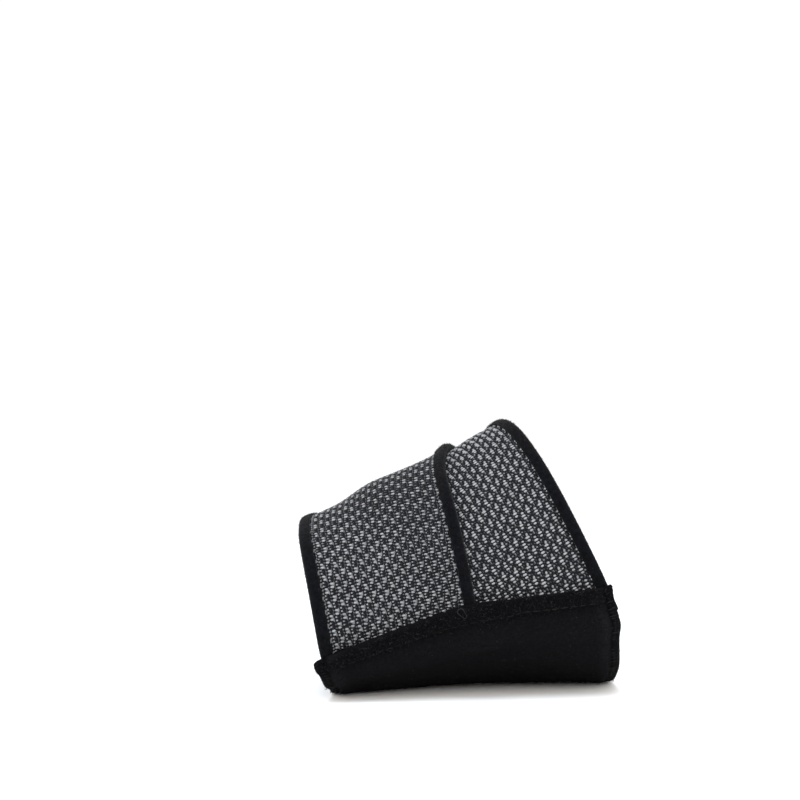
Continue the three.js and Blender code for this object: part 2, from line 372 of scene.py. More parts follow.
# painted shade on each stitch: the share of its shade lost from its top down to its middle
STITCH_PAINTED_SHADE = 0.45
SHADE_SPREAD = 0.09
REPEAT_SHADE_SPREAD = 0.10
PLACE_SPREAD = 0.03
ROW_LEAN = 0.12
LIFTED_SLIM = 0.10  # loss of width for each millimetre that a strap is lifted, where its knit is pulled open
WAY_STATIONS = 240  # places along a strap where its knit is measured
WAY_MARGIN = 0.1  # share of the way that they run on past both sewn ends
ROW_EASE = 20  # how many stations to each side the lean of a row is averaged over
HEM_REACH = 2.0  # how far the stitches run on under a hem
COVER_MARGIN = 1.0  # how far they run on under the front strap
EDGE_STITCH_STEP = 0.87
EDGE_STITCH_INSET = 0.45
EDGE_STITCH_LONG = 0.5
EDGE_STITCH_WIDE = 0.45
EDGE_STITCH_SHADE = 0.45
GRAIN_SIDES = 6
KNIT_RINGS = 3


def add_strap(name, route):
    """A strap's own cloth, from the toe edge to the heel edge. Bound edges lie inside their bindings."""
    toe = -route["width"] / 2 + (BINDING_FOLD if route["toe_bound"] else 0)
    heel = route["width"] / 2 - BINDING_FOLD
    thick = STRAP_OUTSIDE - STRAP_INSIDE
    bm = flat_cloth(heel - toe, STRAP_RUN, thick, STRAP_COLUMNS, STRAP_ROWS, STRAP_ROUNDING)

    def place(flat):
        share = flat[:, 1] / STRAP_RUN + 0.5
        x = strap_line(route, share, flat[:, 0] + (toe + heel) / 2)
        return on_strap(route, x, share, STRAP_INSIDE + flat[:, 2])

    lay(bm, place)
    return add_cloth(name + "_ground", bm, black_knit, "silver_knit", name)


def strap_measure(route, share):
    """A strap's real length for each unit of share, and the change of share for each millimetre across, along
    a row of the knit, which leans a little from square to the strap."""
    x = strap_middle(route, share)
    here = on_strap(route, x, share, STRAP_OUTSIDE)
    by_x = (on_strap(route, x + PROBE, share, STRAP_OUTSIDE) - here) / PROBE
    step = PROBE / STRAP_RUN
    along = (on_strap(route, strap_middle(route, share + step), share + step, STRAP_OUTSIDE) - here) / step
    length = np.linalg.norm(along, axis=1)
    reach = np.hypot(1, strap_slant(route, share))
    return length, -reach * (by_x * along).sum(1) / length**2 - ROW_LEAN / length


def knit_rows(route):
    """Stations along a strap's way, the knit's own length up to each, how far its rows are pulled apart, and
    the change of share for each millimetre across, evened out along the way."""
    way = np.linspace(-WAY_MARGIN, 1 + WAY_MARGIN, WAY_STATIONS)
    length, row_change = strap_measure(route, way)
    even = np.full(2 * ROW_EASE + 1, 1 / (2 * ROW_EASE + 1))
    row_change = np.convolve(np.pad(row_change, ROW_EASE, mode="edge"), even, mode="valid")
    pulled = np.interp(way, *zip(*route["pulled"]))
    travelled = np.cumsum(length / pulled) * (way[1] - way[0])
    return {"way": way, "travelled": travelled, "pulled": pulled, "row_change": row_change}


def chart_stitches(route, knit, repeat_wide, repeat_long, motif, chance):
    """The stitches of a strap that show, a row for each: the motif's, repeated between the edges, and small
    ones beside both bindings where the route asks for them. The columns are the offset across, the share of
    the way, the length, the width, the turn, the shade and the fade."""
    way, travelled = knit["way"], knit["travelled"]
    columns = np.arange(-1, math.ceil(route["width"] / repeat_wide) + 1)
    rows = np.arange(math.ceil(travelled[-1] / repeat_long))
    lattice = np.meshgrid(columns, rows, np.arange(len(motif)), indexing="ij")
    column, row, stitch = (numbers.ravel() for numbers in lattice)
    across, along, long, wide, turned, shade, fade, sink = np.array(motif)[stitch].T
    shade = shade * chance.normal(1, REPEAT_SHADE_SPREAD, (len(columns), len(rows)))[column, row]
    offset = (column + across) * repeat_wide - route["width"] / 2
    station = np.interp((row + along) * repeat_long, travelled, way)
    share = station + offset * np.interp(station, way, knit["row_change"])
    pulled = np.interp(share, way, knit["pulled"])
    shade = shade * np.clip(1 - sink * np.maximum(pulled - 1, 0), 0, None)
    stitches = np.column_stack([offset, share, long, wide, turned, shade, fade])

    toe = -route["width"] / 2 + (BINDING_WIDTH if route["toe_bound"] else 0)
    heel = route["width"] / 2 - BINDING_WIDTH
    edge_offsets = (toe + EDGE_STITCH_INSET, heel - EDGE_STITCH_INSET) if route["edge_columns"] else ()
    edge_share = np.interp(np.arange(0, travelled[-1], EDGE_STITCH_STEP), travelled, way)
    for edge_offset in edge_offsets:
        edge = np.broadcast_arrays(edge_offset, edge_share, EDGE_STITCH_LONG, EDGE_STITCH_WIDE, 0,
                                   EDGE_STITCH_SHADE, 0)
        stitches = np.vstack([stitches, np.column_stack(edge)])

    offset, share = stitches[:, :2].T
    hidden_end = (TUCK - HEM_REACH) / STRAP_RUN
    shown = (offset > toe) & (offset < heel + route["under_tape"])
    shown &= (share > hidden_end) & (share < 1 - hidden_end)
    shown &= route["shows"](strap_line(route, share, offset), share)
    return stitches[shown]


def stitch_grain(rings):
    """A rounded stitch of radius 1 round the origin, with its ends along x."""
    grain = bmesh.new()
    lying = Matrix.Rotation(math.pi / 2, 4, "Y")
    bmesh.ops.create_uvsphere(grain, u_segments=GRAIN_SIDES, v_segments=rings, radius=1, matrix=lying)
    bmesh.ops.triangulate(grain, faces=grain.faces)
    return grain


def sew_stitches(name, route, repeat_wide, repeat_long, motif, seed):
    """The silver stitches of a strap, as one piece of rounded grains that lie along the rows of its knit."""
    chance = np.random.default_rng(seed)
    knit = knit_rows(route)
    stitches = chart_stitches(route, knit, repeat_wide, repeat_long, motif, chance)
    offset, share, long, wide, turned, shade, fade = stitches.T
    count = len(stitches)
    offset = offset + chance.normal(0, PLACE_SPREAD, count)
    x = strap_line(route, share, offset)
    lift = route["lift"](x, share)
    wide = wide * (1 - LIFTED_SLIM * lift)
    shade = shade * (1 - fade * lift)
    height = STRAP_OUTSIDE + STITCH_RISE
    point = on_strap(route, x, share, height)
    next_share = share + PROBE * np.interp(share, knit["way"], knit["row_change"])
    beside = on_strap(route, strap_line(route, next_share, offset + PROBE), next_share, height)
    outward = unit(on_strap(route, x, share, height + PROBE) - point)
    row_way = unit(beside - point)
    long_way = np.cross(outward, row_way)
    turned = np.radians(turned)[:, None]
    first = row_way * np.cos(turned) + long_way * np.sin(turned)
    second = long_way * np.cos(turned) - row_way * np.sin(turned)
    swell = STITCH_SWELL / 2 * chance.normal(1, STITCH_SIZE_SPREAD, (count, 1))
    places = places_at(point, first * long[:, None] * swell, second * wide[:, None] * swell,
                       outward * STITCH_HEIGHT)
    shades = np.clip(shade * chance.normal(1, SHADE_SPREAD, count), 0, 1)
    return add_copies(name, stitch_grain(KNIT_RINGS), places, shades, silver_yarn,
                      STITCH_PAINTED_SHADE)


def no_lift(x, share):
    return np.zeros_like(x)


def behind_front_strap(x, share):
    """Whether places on the rear strap show behind the front strap's heel edge."""
    return x > strap_line(FRONT_ROUTE, share, FRONT_ROUTE["width"] / 2) - COVER_MARGIN


def everywhere(x, share):
    return np.ones_like(x, dtype=bool)


# Both straps' routes: whether the toe edge is bound and small stitches run beside the bindings, how far the
# motif runs on under the heel binding, the x of the middle line at the sewn ends and at its foremost point,
# where it turns softly, how far the rows of the knit are pulled apart at shares of the way, how far the strap
# is lifted, and where its stitches show
REAR_ROUTE = {
    "width": 31.5, "toe_bound": False, "edge_columns": False, "under_tape": 0.4,
    "inner_x": 22.8, "apex_x": -5.8, "outer_x": 20.0, "apex_at": 0.57, "softness": 0.35,
    "pulled": [(0.10, 1.05), (0.17, 0.99), (0.22, 0.94), (0.30, 0.88), (0.50, 0.88), (0.80, 1)],
    "lift": no_lift, "shows": behind_front_strap,
}
FRONT_ROUTE = {
    "width": 38.5, "toe_bound": True, "edge_columns": True, "under_tape": 0,
    "inner_x": -15.3, "apex_x": -21.9, "outer_x": -3.0, "apex_at": 0.34, "softness": 0.15,
    "pulled": [(0.10, 0.98), (0.17, 1), (0.23, 1.05), (0.28, 1.14), (0.35, 1.36), (0.50, 1.30), (0.80, 1)],
    "shows": everywhere,
}
# One repeat of the knit. Each stitch has its place as shares of the repeat, its length and width, its turn in
# degrees from the row, and its shade. Fade is the share of the shade lost for each millimetre of lift, and
# sink the share lost as the rows are pulled apart. There is a heap of three stitches with a dark tail, a heap
# of two with a spike, and two dots between.
REAR_REPEAT_WIDE = 3.13
REAR_REPEAT_LONG = 3.52
REAR_MOTIF = [
    # across, along, long, wide, turn, shade, fade, sink
    (0.755, 0.860, 0.85, 0.62, 0, 0.82, 0, 0),
    (0.748, 0.635, 1.22, 0.66, 8, 1.00, 0, 0),
    (0.782, 0.410, 1.02, 0.62, 8, 0.86, 0, 0),
    (0.850, 0.190, 0.90, 0.36, 105, 0.26, 0, 0),
    (0.285, 0.230, 0.95, 0.66, 82, 0.64, 0, 0),
    (0.245, 0.020, 1.22, 0.66, 8, 1.00, 0, 0),
    (0.250, 0.790, 0.92, 0.60, 8, 0.84, 0, 0),
    (0.577, 0.132, 0.55, 0.45, 0, 0.40, 0, 0),
    (0.074, 0.507, 0.55, 0.45, 0, 0.40, 0, 0),
]
rear_strap = add_strap("rear_strap", REAR_ROUTE)
rear_stitches = sew_stitches("rear_strap_stitches", REAR_ROUTE, REAR_REPEAT_WIDE, REAR_REPEAT_LONG,
                             REAR_MOTIF, seed=11)

# Front strap: a wider band of the same elastic, bound on both edges. It lies over the rear strap's toe edge,
# so it climbs onto it, and its ends are sewn into the same hems.
LAYER_GAP = 0.2
OVERLAP_LIFT = STRAP_OUTSIDE + LAYER_GAP
OVERLAP_RAMP = 12.0
OVERLAP_MARGIN = 1.5


def overlap_lift(x, share):
    rear_start = strap_line(REAR_ROUTE, share, -REAR_ROUTE["width"] / 2)
    return OVERLAP_LIFT * smooth(x, rear_start - OVERLAP_MARGIN - OVERLAP_RAMP, rear_start - OVERLAP_MARGIN)


FRONT_ROUTE["lift"] = overlap_lift
# One repeat of this strap's knit: two pairs of stitches, each with a small one between and a link on its heel
# side, and pairs of dots, with smaller ones between. A fade or a sink below 0 adds to the shade.
FRONT_REPEAT_WIDE = 3.14
FRONT_REPEAT_LONG = 3.27
PAIR_STITCH = (1.04, 0.63, 0, 0.80, 0.04, -2.4)
PAIR_MIDDLE = (0.70, 0.50, 0, 0.30, 0.40, 2.6)
DOT = (0.50, 0.46, 0, 0.74, 0.04, 3.4)
SMALL_DOT = (0.42, 0.36, 0, 0.18, -0.35, 2.5)
FRONT_MOTIF = [
    # across, along, long, wide, turn, shade, fade, sink
    (0.28, 0.53, *PAIR_STITCH),
    (0.31, 0.27, *PAIR_STITCH),
    (0.37, 0.40, *PAIR_MIDDLE),
    (0.43, 0.28, 1.35, 0.50, 108, 0.38, 0.40, 4.5),
    (0.66, 0.41, *DOT),
    (0.66, 0.17, *DOT),
    (0.78, 0.91, *PAIR_STITCH),
    (0.77, 0.65, *PAIR_STITCH),
    (0.86, 0.78, *PAIR_MIDDLE),
    (0.92, 0.87, 1.30, 0.50, 84, 0.38, 0.40, 4.5),
    (0.15, 0.03, *DOT),
    (0.15, 0.78, *DOT),
    (0.53, 0.64, *SMALL_DOT),
    (0.53, 0.90, *SMALL_DOT),
    (0.04, 0.27, *SMALL_DOT),
    (0.04, 0.53, *SMALL_DOT),
]
front_strap = add_strap("front_strap", FRONT_ROUTE)
front_stitches = sew_stitches("front_strap_stitches", FRONT_ROUTE, FRONT_REPEAT_WIDE, FRONT_REPEAT_LONG,
                              FRONT_MOTIF, seed=12)

# Bindings: soft black tape folded round both edges of the front strap and the heel edge of the rear strap,
# and sewn down. The tape is a little fuzzy and stands about a millimetre proud of the knit.
TAPE_THICKNESS = 0.5
TAPE_FOLD_RADIUS = 0.9
TAPE_INNER_HEIGHT = 0.3
TAPE_OUTER_HEIGHT = TAPE_INNER_HEIGHT + 2 * TAPE_FOLD_RADIUS
TAPE_LIP_DIP = 0.3  # how far the lip bends down to the knit
TAPE_SWELL = 0.75  # how much fuller the fold is on the inner side, above the hem
TAPE_SWELL_EASE = 12.0
TAPE_SWELL_ENDS = 45.0  # from the inner sewn end to where the fold is flatter again
TAPE_RIDGE_SWELL = 0.25  # how much fuller it is from there on
TAPE_LEAF = BINDING_WIDTH - TAPE_FOLD_RADIUS
TAPE_FLAT_WIDTH = 2 * TAPE_LEAF + math.pi * TAPE_FOLD_RADIUS
TAPE_COLUMNS = 18
TAPE_ROWS = 120
TAPE_ROUNDING = 0.15
TAPE_DARK = (0.0008, 0.0009, 0.0013)
TAPE_LIGHT = (0.0038, 0.0040, 0.0055)
TAPE_SHEEN = 0.05

binding_tape, shader = new_finish("binding_tape", roughness=1.0, specular=0.04)
shader.inputs["Sheen Weight"].default_value = TAPE_SHEEN
mottle = fine_noise(binding_tape, ("Scale", 900.0), ("Detail", 6.0))
paint(binding_tape, shader, add_ramp(binding_tape, mottle, (0.3, TAPE_DARK), (0.75, TAPE_LIGHT)), mottle,
      strength=0.7, distance=0.0003)


def fold_tape(flat_x, flat_z, edge):
    """Where flat tape goes when it is folded round an edge: its distance across the strap and its height."""
    way = flat_x + TAPE_FLAT_WIDTH / 2
    off = flat_z - TAPE_THICKNESS / 2
    centre = edge - TAPE_FOLD_RADIUS
    on_outer = np.clip(way, 0, TAPE_LEAF)
    on_inner = np.clip(way - TAPE_FLAT_WIDTH + TAPE_LEAF, 0, TAPE_LEAF)
    angle = math.pi / 2 - np.clip((way - TAPE_LEAF) / TAPE_FOLD_RADIUS, 0, math.pi)
    spread = TAPE_FOLD_RADIUS + off
    across = centre - TAPE_LEAF + on_outer + spread * np.cos(angle) - on_inner
    height = TAPE_INNER_HEIGHT + TAPE_FOLD_RADIUS + spread * np.sin(angle)
    return across, height - TAPE_LIP_DIP * (1 - on_outer / TAPE_LEAF) ** 2


def on_tape(route, side, flat_x, share, flat_z):
    """Points of the tape round a strap's edge, from their flat place across it and their height in it."""
    across, height = fold_tape(flat_x, flat_z, route["width"] / 2)
    from_end = STRAP_RUN * np.minimum(share, 1 - share)
    fullest = mix(TAPE_SWELL, TAPE_RIDGE_SWELL,
                  smooth(STRAP_RUN * share, TAPE_SWELL_ENDS - TAPE_SWELL_EASE, TAPE_SWELL_ENDS))
    swell = fullest * smooth(from_end, TUCK, TUCK + TAPE_SWELL_EASE)
    fullness = smooth(height, STRAP_INSIDE, TAPE_OUTER_HEIGHT)
    return on_strap(route, strap_line(route, share, side * across), share, height + swell * fullness)


def bind_edge(name, route, side):
    bm = flat_cloth(TAPE_FLAT_WIDTH, STRAP_RUN, TAPE_THICKNESS, TAPE_COLUMNS, TAPE_ROWS, TAPE_ROUNDING)

    def place(flat):
        share = flat[:, 1] / STRAP_RUN + 0.5
        return on_tape(route, side, flat[:, 0], share, flat[:, 2])

    lay(bm, place)
    return add_cloth(name + "_tape", bm, binding_tape, "binding_black", name)


# The fibres of fuzz, pile and lint
FIBRE_SHORTEST = 0.5  # shares of a fibre's usual length
FIBRE_LONGEST = 1.2
FIBRE_CLEARANCE = 0.15  # above the floor
FIBRE_SIDES = 3
FUZZ_DARK = (0.003, 0.003, 0.004)
LINT_GREY = (0.10, 0.10, 0.105)

soft_fuzz, shader = new_finish("soft_fuzz", roughness=1.0, specular=0.05)
paint(soft_fuzz, shader, shade_ramp(soft_fuzz, FUZZ_DARK, LINT_GREY))


def add_fibres(name, roots, outward, long, thick, lean, shades, chance):
    """One piece of short tapered fibres that stand on their roots and lean at random."""
    count = len(roots)
    way = unit(outward + chance.normal(0, lean, (count, 3)))
    side = unit(np.cross(way, chance.normal(0, 1, (count, 3))))
    long = long * chance.uniform(FIBRE_SHORTEST, FIBRE_LONGEST, (count, 1))
    clear = np.minimum(roots, roots + way * long)[:, 2] > FIBRE_CLEARANCE
    places = places_at(roots, side * thick, np.cross(way, side) * thick, way * long)
    fibre = bmesh.new()
    bmesh.ops.create_cone(fibre, cap_ends=True, segments=FIBRE_SIDES, radius1=1, radius2=0, depth=1)
    bmesh.ops.translate(fibre, vec=(0, 0, 0.5), verts=fibre.verts)
    bmesh.ops.triangulate(fibre, faces=fibre.faces)
    return add_copies(name, fibre, places[clear], shades[clear], soft_fuzz)


FUZZ_LONG = 0.55
FUZZ_THICK = 0.035
FUZZ_LEAN = 0.8
FUZZ_DENSITY = 34.0  # fibres for each millimetre of tape
FUZZ_START = -TAPE_FLAT_WIDTH / 2  # across the flat tape, at its outer lip
FUZZ_END = TAPE_LEAF - TAPE_FLAT_WIDTH / 2 + TAPE_FOLD_RADIUS * 2  # past the middle of its fold
FUZZ_SHADE = 0.4
FUZZ_LINT_SHARE = 0.02
FUZZ_LINT_SHADE = 0.5


def fuzz_edge(name, route, side, seed):
    """Loose black fibres on the outside of a binding, with a little lint among them."""
    chance = np.random.default_rng(seed)
    count = int(FUZZ_DENSITY * STRAP_RUN)
    flat_x = chance.uniform(FUZZ_START, FUZZ_END, count)
    hidden_end = TUCK / STRAP_RUN
    share = chance.uniform(hidden_end, 1 - hidden_end, count)
    roots = on_tape(route, side, flat_x, share, np.full(count, TAPE_THICKNESS - FUZZ_THICK))
    outward = unit(roots - on_tape(route, side, flat_x, share, np.zeros(count)))
    is_lint = chance.uniform(size=count) < FUZZ_LINT_SHARE
    shades = np.where(is_lint, FUZZ_LINT_SHADE, chance.uniform(0, FUZZ_SHADE, count) ** 2)
    return add_fibres(name + "_fuzz", roots, outward, FUZZ_LONG, FUZZ_THICK, FUZZ_LEAN, shades, chance)


TOE_SIDE = -1
HEEL_SIDE = 1


def add_binding(name, route, side, seed):
    return [bind_edge(name, route, side), fuzz_edge(name, route, side, seed)]


front_bindings = [
    *add_binding("front_strap_toe_binding", FRONT_ROUTE, TOE_SIDE, seed=21),
    *add_binding("front_strap_heel_binding", FRONT_ROUTE, HEEL_SIDE, seed=22),
]
rear_bindings = add_binding("rear_strap_heel_binding", REAR_ROUTE, HEEL_SIDE, seed=23)

# Sole panel: black padded cloth with a brushed face, cut flat and wrapped under the hollow and up both sides.
# Its hems are folded and sewn over the strap ends, and its toe and heel edges are rolled and overlocked.
HEM_THICKNESS = 1.8
HEM_EASE = 8.0
BINDING_TOP = 2.4  # of the bindings under a hem, above the hollow
PANEL_RUN = 115.0
PANEL_WIDE = 76.0
PANEL_FRONT = {"inner_hem": -36.8, "sole": -33.8, "outer_hem": -27.0, "ease": 26.0}
PANEL_REAR = {"inner_hem": 38.6, "sole": 41.2, "outer_hem": 39.0, "ease": 13.0}
PANEL_COLUMNS = 96
PANEL_ROWS = 150
PANEL_ROUNDING = 0.6
HEM_SEAM = 3.6  # from the hem's edge down to its line of stitches
FOLD_EASE = 1.0
HEM_FOLD_PROUD = 0.3
SEAM_PINCH = 0.35
SEAM_HALF_WIDTH = 0.55
ROLL_WIDTH = 2.0  # of the rolled edges
ROLL_THINNEST = 0.6
ROLL_CREASE = 0.6
ROLL_RIDGE = 0.35  # the swelling of the cloth beside the crease
ROLL_RIDGE_WIDTH = 1.8
HEEL_FLARE = 1.3  # how far the heel edge runs on towards the sole's middle
FLARE_END = PANEL_RUN / 3  # from a hem to where the flare is whole
EAR_RISE = 0.45  # the corner of the heel edge that stands up above the inner hem
EAR_WIDTH = 2.6
TOE_POKE = 1.3  # the corner of the toe edge that sticks out under the binding
TOE_POKE_AT = 0.7
TOE_POKE_ABOVE = 0.9
TOE_POKE_BELOW = 4.0
TOE_POKE_INWARD = 0.1  # share of the panel's width that the corner takes up
CORNER_LONG = 9.0
PILE_DARK = (0.0029, 0.0028, 0.0035)
PILE_LIGHT = (0.0102, 0.0098, 0.0114)
TONE_REACH = 8.0
# Tones from the toe and heel edges: the rolled strip a little darker, painted shade in the crease at the
# roll's edge, and a painted highlight on the swelling beside it
EDGE_TONES_AND_PAINTED_LIGHT = [(0, 0.55), (1.4, 0.55), (2, 0.15), (2.9, 1), (3.8, 0.95), (6.5, 0.62)]  # from the edge, tone
HEM_TONES = [(0, 0.75), (3.6, 0.75), (4.2, 0.6), (5.0, 0.85), (7.5, 1.0)]  # from the hem's edge, tone

brushed_pile, shader = new_finish("brushed_pile", roughness=1.0, specular=0.04)
nap = fine_noise(brushed_pile, ("Scale", 1500.0), ("Detail", 5.0), ("Roughness", 0.65))
pile_colour = add_ramp(brushed_pile, nap, (0.3, PILE_DARK), (0.75, PILE_LIGHT))
panel_map = add_node(brushed_pile, "ShaderNodeUVMap", uv_map="weave").outputs["UV"]
flat_place = add_node(brushed_pile, "ShaderNodeSeparateXYZ", [(0, panel_map)]).outputs
# The pile's colour is multiplied by the tones from the edges and the hems, which paint shade and highlight
# along the rolled edges
for axis, half, tones in (("X", PANEL_WIDE / 2, EDGE_TONES_AND_PAINTED_LIGHT), ("Y", PANEL_RUN / 2, HEM_TONES)):
    from_middle = add_node(brushed_pile, "ShaderNodeMath", [(0, flat_place[axis])], operation="ABSOLUTE")
    reach_inputs = [("Value", from_middle.outputs[0]), ("From Min", half), ("From Max", half - TONE_REACH)]
    from_edge = add_node(brushed_pile, "ShaderNodeMapRange", reach_inputs).outputs[0]
    stops = [(distance / TONE_REACH, (grey, grey, grey)) for distance, grey in tones]
    tone_inputs = [("Factor", 1.0), ("A", pile_colour), ("B", add_ramp(brushed_pile, from_edge, *stops))]
    toned = add_node(brushed_pile, "ShaderNodeMix", tone_inputs, data_type="RGBA", blend_type="MULTIPLY")
    pile_colour = toned.outputs["Result"]
paint(brushed_pile, shader, pile_colour, nap, strength=0.9, distance=0.0005)


def hem_lift(x, share):
    """How far both straps together lift the panel's hem."""
    front_end = strap_line(FRONT_ROUTE, share, FRONT_ROUTE["width"] / 2) + OVERLAP_MARGIN
    return overlap_lift(x, share) * (1 - smooth(x, front_end, front_end + OVERLAP_RAMP))


def panel_edge(edge, share):
    hem = np.where(share < 0.5, edge["outer_hem"], edge["inner_hem"])
    return mix(hem, edge["sole"], smooth(PANEL_RUN * np.minimum(share, 1 - share), 0, edge["ease"]))


def hump(value, middle, width):
    return np.exp(-(((value - middle) / width) ** 2))


def panel_relief(from_hem, from_side):
    """How far the panel's face stands out: its folded hems, the pinch of their seams, and the crease and the
    swelling beside its rolled edges."""
    fold = smooth(from_hem, 0, FOLD_EASE) * (1 - smooth(from_hem, HEM_SEAM - FOLD_EASE, HEM_SEAM))
    seam = hump(from_hem, HEM_SEAM, SEAM_HALF_WIDTH)
    crease = hump(from_side, ROLL_WIDTH, SEAM_HALF_WIDTH)
    ridge = hump(from_side, ROLL_WIDTH + ROLL_RIDGE_WIDTH, ROLL_RIDGE_WIDTH)
    return HEM_FOLD_PROUD * fold - SEAM_PINCH * seam - ROLL_CREASE * crease + ROLL_RIDGE * ridge


def on_panel(u, share, level, proud=0):
    """Points of the panel at shares of its width from toe to heel and of its way from the outer hem to the
    inner one, at a level from 0, its inside, to 1, its brushed face, and standing proud of that."""
    run = PANEL_RUN * (1 - share)
    flare = HEEL_FLARE * smooth(PANEL_RUN * np.minimum(share, 1 - share), PANEL_REAR["ease"], FLARE_END)
    poke_long = np.where(run < TOE_POKE_AT, TOE_POKE_ABOVE, TOE_POKE_BELOW)
    poke = TOE_POKE * hump(run, TOE_POKE_AT, poke_long) * (1 - smooth(u, 0, TOE_POKE_INWARD))
    front = panel_edge(PANEL_FRONT, share)
    rear = panel_edge(PANEL_REAR, share) + flare
    x = mix(front, rear, u) - poke
    turns, lengths = panel_ruler(x)
    from_hem = lengths[:, -1] * np.minimum(share, 1 - share)
    from_side = (rear - front) * np.minimum(u, 1 - u)
    settled = smooth(from_hem, TUCK + OVERLAP_MARGIN, TUCK + OVERLAP_MARGIN + HEM_EASE)
    over_straps = BINDING_TOP + LAYER_GAP + hem_lift(x, np.where(share < 0.5, 1.0, 0.0))
    inside = mix(over_straps, 0, settled)
    thickness = mix(HEM_THICKNESS, PANEL_THICKNESS, settled)
    roll = np.sqrt(1 - np.clip(1 - from_side / ROLL_WIDTH, 0, 1) ** 2)
    rolled = 0.5 + (level - 0.5) * mix(ROLL_THINNEST, 1, roll)
    height = inside + rolled * thickness + level * panel_relief(from_hem, from_side) + proud
    ear = EAR_RISE * smooth((rear - front) * (1 - u), EAR_WIDTH, 0) * smooth(run, CORNER_LONG, 0)
    points = above(x, turn_at(turns, lengths, share * lengths[:, -1] + ear), height)
    points[:, 2] = np.maximum(points[:, 2], 0)
    return points


def place_panel(flat):
    return on_panel(flat[:, 0] / PANEL_WIDE + 0.5, flat[:, 1] / PANEL_RUN + 0.5, flat[:, 2] / PANEL_THICKNESS)


bm = flat_cloth(PANEL_WIDE, PANEL_RUN, PANEL_THICKNESS, PANEL_COLUMNS, PANEL_ROWS, PANEL_ROUNDING)
lay(bm, place_panel)
sole_panel = add_cloth("sole_panel_cloth", bm, brushed_pile, "brushed_black", "sole_panel")

# Seams: the thread that the panel is sewn with. A line of stitches runs along each hem, with zigzags from it
# up to the hem's edge, and the toe and heel edges are overlocked. The thread is darker towards the toe end.
THREAD_DARK = (0.0028, 0.0028, 0.0036)
THREAD_LIGHT = (0.045, 0.045, 0.048)
THREAD_PROUD = 0.05
THREAD_SHADE_SPREAD = 0.5
THREAD_TOE_KEEPS = 0.05  # share of its shade that the thread keeps at the toe end
THREAD_DIM_TO = 0.55  # shares of the panel's width, from the toe edge
THREAD_FULL_FROM = 0.8
SEAM_RINGS = 4
SEAM_STITCH = 2.4
SEAM_STITCH_REACH = 0.9  # share of a step that a stitch covers
SEAM_STITCH_THICK = 0.24
SEAM_SHADE = 0.20
SEAM_WANDER = 0.12
ZIGZAG_STEP = 1.15
ZIGZAG_STEP_SPREAD = 0.35
ZIGZAG_THICK = 0.16
ZIGZAG_SHADE = 0.14
ZIGZAG_TOP = 0.5  # below the hem's edge
ZIGZAG_TOP_SPREAD = 0.3
ZIGZAG_BASE = 0.3  # above the line of stitches
ZIGZAG_BASE_SPREAD = 0.25
OVERLOCK_STEP = 1.0
OVERLOCK_WANDER = 0.12
OVERLOCK_SPREAD = 0.25
OVERLOCK_INSET = 0.15
OVERLOCK_LEAN = 0.45  # share of a step that a stitch leans along the edge
OVERLOCK_THICK = 0.34
OVERLOCK_SHADE = 0.07
OVERLOCK_BEAD = 0.55
BEAD_SHADE_SPREAD = 0.3

sewing_thread, shader = new_finish("sewing_thread", roughness=0.8, specular=0.15)
paint(sewing_thread, shader, shade_ramp(sewing_thread, THREAD_DARK, THREAD_LIGHT))


def panel_way(u, share, level=1.0):
    """Which way the panel faces at each place, on its face or on its inside."""
    return unit(on_panel(u, share, level, PROBE) - on_panel(u, share, level))


def stitches_between(starts, ends, outward, thick):
    """Places for stitches from one row of points to another."""
    run = ends - starts
    side = unit(np.cross(outward, run))
    up = unit(np.cross(run, side))
    return places_at((starts + ends) / 2, run / 2, side * thick / 2, up * thick / 2)


def sew_row(starts, ends, thick, shade, chance, level=1.0):
    """Places and shades for a row of stitches, from starts (u, share) to ends, on the face or the inside."""
    proud = THREAD_PROUD if level > 0.5 else -THREAD_PROUD
    start_points, end_points = (on_panel(u, share, level, proud) for u, share in (starts, ends))
    places = stitches_between(start_points, end_points, panel_way(*starts, level), thick)
    brightness = mix(THREAD_TOE_KEEPS, 1, smooth(starts[0], THREAD_DIM_TO, THREAD_FULL_FROM))
    return places, np.clip(shade * chance.normal(1, THREAD_SHADE_SPREAD, len(places)) * brightness, 0, 1)


def hem_share(distance, inner):
    """The share of the panel's way at a distance down from its inner or its outer hem."""
    return 1 - distance / PANEL_RUN if inner else distance / PANEL_RUN


def sew_hem(inner, chance):
    """The rows of one hem: its line of stitches, and the zigzags above."""
    u = np.arange(ROLL_WIDTH, PANEL_WIDE - ROLL_WIDTH - SEAM_STITCH, SEAM_STITCH) / PANEL_WIDE
    end = u + SEAM_STITCH_REACH * SEAM_STITCH / PANEL_WIDE
    share = hem_share(HEM_SEAM + chance.normal(0, SEAM_WANDER, len(u) + 1), inner)
    line = sew_row((u, share[:-1]), (end, share[1:]), SEAM_STITCH_THICK, SEAM_SHADE, chance)
    u = np.arange(ROLL_WIDTH, PANEL_WIDE - ROLL_WIDTH - ZIGZAG_STEP, ZIGZAG_STEP) / PANEL_WIDE
    end = u + chance.normal(1, ZIGZAG_STEP_SPREAD, len(u)) * ZIGZAG_STEP / PANEL_WIDE
    low = hem_share(HEM_SEAM - ZIGZAG_BASE + chance.normal(0, ZIGZAG_BASE_SPREAD, len(u)), inner)
    high = hem_share(ZIGZAG_TOP + np.abs(chance.normal(0, ZIGZAG_TOP_SPREAD, len(u))), inner)
    climbs = np.arange(len(u)) % 2
    zigzag_starts = u, np.where(climbs, low, high)
    zigzag_ends = end, np.where(climbs, high, low)
    return [line, sew_row(zigzag_starts, zigzag_ends, ZIGZAG_THICK, ZIGZAG_SHADE, chance)]


